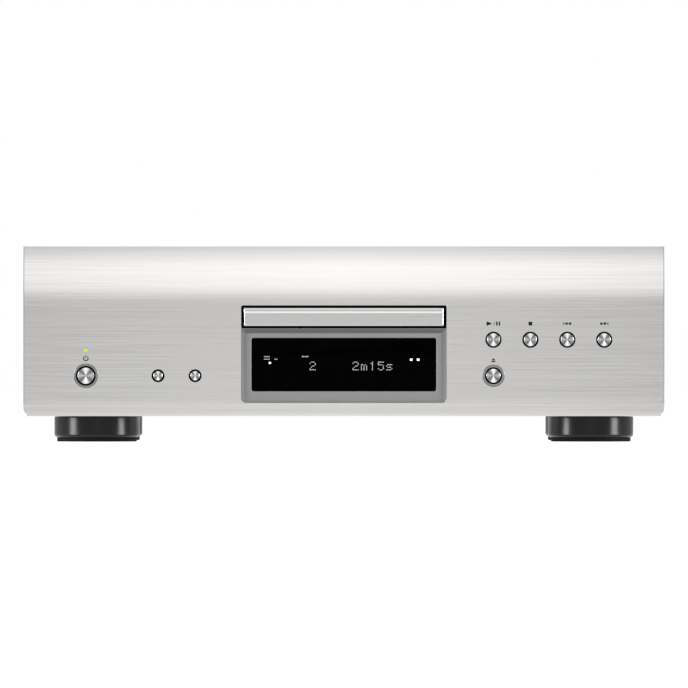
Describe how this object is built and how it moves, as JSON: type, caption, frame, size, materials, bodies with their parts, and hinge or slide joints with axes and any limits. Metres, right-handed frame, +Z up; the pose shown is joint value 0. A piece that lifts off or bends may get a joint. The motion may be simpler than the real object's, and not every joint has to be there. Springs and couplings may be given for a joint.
{
  "type": "cd player",
  "caption": "Full-width disc player with a motorised disc tray, display window, sprung push buttons, drum feet and rear sockets.",
  "frame": {"origin": "centre of the bounding box footprint, on the surface the feet stand on", "axes": "+X to the right as seen from the front, +Y from the front panel to the rear sockets, +Z up"},
  "size_m": [0.434, 0.33, 0.1324],
  "materials": {
    "panel_aluminium": "brushed, satin",
    "lid_aluminium": "brushed, satin",
    "button_metal": "spun, bright",
    "ring_metal": "turned, satin",
    "bezel_grey": "painted satin grey",
    "display_lens": "polished smoked",
    "display_glass": "polished",
    "power_light": "diffuse, lit yellow-green",
    "black_plastic": "moulded",
    "socket_plastic": "moulded",
    "tray_plastic": "fine texture",
    "white_plastic": "moulded acetal",
    "cover_paint": "fine texture silver paint",
    "zinc_steel": "zinc plated",
    "transformer_can": "semi-gloss black",
    "foot_plastic": "glossy",
    "foot_rubber": "matt",
    "belt_rubber": "matt",
    "circuit_board": "solder mask",
    "lens_glass": "coated"
  },
  "bodies": {
    "casing": {"front_panel": "panel_aluminium", "front_frame": "zinc_steel", "base_chassis": "zinc_steel", "top_cover": "cover_paint", "rear_panel": "cover_paint", "foot_front_left": "foot_plastic", "foot_pad_front_left": "foot_rubber", "foot_front_right": "foot_plastic", "foot_pad_front_right": "foot_rubber", "foot_rear_left": "foot_plastic", "foot_pad_rear_left": "foot_rubber", "foot_rear_right": "foot_plastic", "foot_pad_rear_right": "foot_rubber", "power_ring": "ring_metal", "eject_ring": "ring_metal", "power_light": "power_light", "left_switch_board": "circuit_board", "right_switch_board": "circuit_board", "tray_surround": "black_plastic", "display_bezel": "bezel_grey", "display_lens": "display_lens", "display_module": "display_glass", "loader_frame": "black_plastic", "loading_motor": "zinc_steel", "drive_belt": "belt_rubber", "clamper_bridge": "zinc_steel", "power_transformer": "transformer_can", "power_board": "circuit_board", "audio_board": "circuit_board", "servo_board": "circuit_board", "mains_inlet": "black_plastic", "analog_outputs": "socket_plastic", "coaxial_output": "socket_plastic", "optical_output": "black_plastic", "remote_jacks": "black_plastic"},
    "tray": {"disc_tray": "tray_plastic", "tray_lid": "lid_aluminium"},
    "tray_gear_body": {"tray_gear": "white_plastic"},
    "pulley_gear_body": {"pulley_gear": "white_plastic"},
    "motor_pulley_body": {"motor_pulley": "white_plastic"},
    "cam": {"cam_slider": "white_plastic"},
    "traverse": {"traverse_frame": "zinc_steel", "guide_rod_left": "zinc_steel", "guide_rod_right": "zinc_steel", "sled_motor": "zinc_steel", "spindle_motor": "zinc_steel"},
    "screw": {"sled_screw": "zinc_steel"},
    "turntable_body": {"turntable": "black_plastic"},
    "clamper_body": {"clamper": "black_plastic"},
    "pickup": {"optical_pickup": "tray_plastic"},
    "lens": {"objective_lens": "lens_glass"},
    "shutter": {"optical_shutter": "black_plastic"},
    "power": {"power_button": "button_metal"},
    "layer": {"layer_button": "button_metal"},
    "direct": {"direct_button": "button_metal"},
    "eject": {"eject_button": "button_metal"},
    "play_pause": {"play_pause_button": "button_metal"},
    "stop": {"stop_button": "button_metal"},
    "previous": {"previous_button": "button_metal"},
    "next": {"next_button": "button_metal"}
  },
  "joints": [
    {"name": "tray_slide", "type": "slide", "parent": "casing", "child": "tray", "axis": [0, -1, 0], "range_m": [0, 0.148]},
    {"name": "tray_gear_spin", "type": "hinge", "parent": "casing", "child": "tray_gear_body", "pos_m": [-0.04585, -0.1215, 0.068], "axis": [0, 0, 1], "range_deg": [0, 945]},
    {"name": "pulley_gear_spin", "type": "hinge", "parent": "casing", "child": "pulley_gear_body", "pos_m": [-0.02955, -0.1215, 0.062], "axis": [0, 0, 1], "range_deg": [-2830, 0]},
    {"name": "motor_pulley_spin", "type": "hinge", "parent": "casing", "child": "motor_pulley_body", "pos_m": [0.008, -0.1215, 0.062], "axis": [0, 0, 1], "range_deg": [-8840, 0]},
    {"name": "traverse_lift", "type": "hinge", "parent": "casing", "child": "traverse", "pos_m": [0, 0.0105, 0.074], "axis": [1, 0, 0], "range_deg": [0, 5]},
    {"name": "cam_slide", "type": "slide", "parent": "casing", "child": "cam", "axis": [1, 0, 0], "range_m": [0, 0.024]},
    {"name": "turntable_spin", "type": "hinge", "parent": "traverse", "child": "turntable_body", "pos_m": [0, -0.0795, 0.084], "axis": [0, 0, 1], "continuous": true},
    {"name": "clamper_spin", "type": "hinge", "parent": "casing", "child": "clamper_body", "pos_m": [0, -0.0795, 0.09], "axis": [0, 0, 1], "continuous": true},
    {"name": "sled_slide", "type": "slide", "parent": "traverse", "child": "pickup", "axis": [0, 1, 0], "range_m": [0, 0.036]},
    {"name": "screw_spin", "type": "hinge", "parent": "traverse", "child": "screw", "pos_m": [0.0315, -0.0335, 0.074], "axis": [0, 1, 0], "range_deg": [0, 4325]},
    {"name": "lens_focus", "type": "slide", "parent": "pickup", "child": "lens", "axis": [0, 0, 1], "range_m": [-0.0005, 0.0008], "stiffness_N_per_m": 40},
    {"name": "shutter_flap", "type": "hinge", "parent": "casing", "child": "shutter", "pos_m": [0.118, 0.155, 0.0612], "axis": [-1, 0, 0], "range_deg": [0, 80], "stiffness_Nm_per_rad": 0.0001},
    {"name": "power_press", "type": "slide", "parent": "casing", "child": "power", "axis": [0, 1, 0], "range_m": [0, 0.0008], "stiffness_N_per_m": 300},
    {"name": "layer_press", "type": "slide", "parent": "casing", "child": "layer", "axis": [0, 1, 0], "range_m": [0, 0.0008], "stiffness_N_per_m": 300},
    {"name": "direct_press", "type": "slide", "parent": "casing", "child": "direct", "axis": [0, 1, 0], "range_m": [0, 0.0008], "stiffness_N_per_m": 300},
    {"name": "eject_press", "type": "slide", "parent": "casing", "child": "eject", "axis": [0, 1, 0], "range_m": [0, 0.0008], "stiffness_N_per_m": 300},
    {"name": "play_pause_press", "type": "slide", "parent": "casing", "child": "play_pause", "axis": [0, 1, 0], "range_m": [0, 0.0008], "stiffness_N_per_m": 300},
    {"name": "stop_press", "type": "slide", "parent": "casing", "child": "stop", "axis": [0, 1, 0], "range_m": [0, 0.0008], "stiffness_N_per_m": 300},
    {"name": "previous_press", "type": "slide", "parent": "casing", "child": "previous", "axis": [0, 1, 0], "range_m": [0, 0.0008], "stiffness_N_per_m": 300},
    {"name": "next_press", "type": "slide", "parent": "casing", "child": "next", "axis": [0, 1, 0], "range_m": [0, 0.0008], "stiffness_N_per_m": 300}
  ],
  "couplings": [
    {"joint": "tray_gear_spin", "follows": "tray_slide", "rad_per_m": 111.11},
    {"joint": "pulley_gear_spin", "follows": "tray_slide", "rad_per_m": -333.33},
    {"joint": "motor_pulley_spin", "follows": "tray_slide", "rad_per_m": -1041.7},
    {"joint": "cam_slide", "follows": "traverse_lift", "m_per_rad": 0.27502},
    {"joint": "clamper_spin", "follows": "turntable_spin", "ratio": 1},
    {"joint": "screw_spin", "follows": "sled_slide", "rad_per_m": 2094.4}
  ]
}
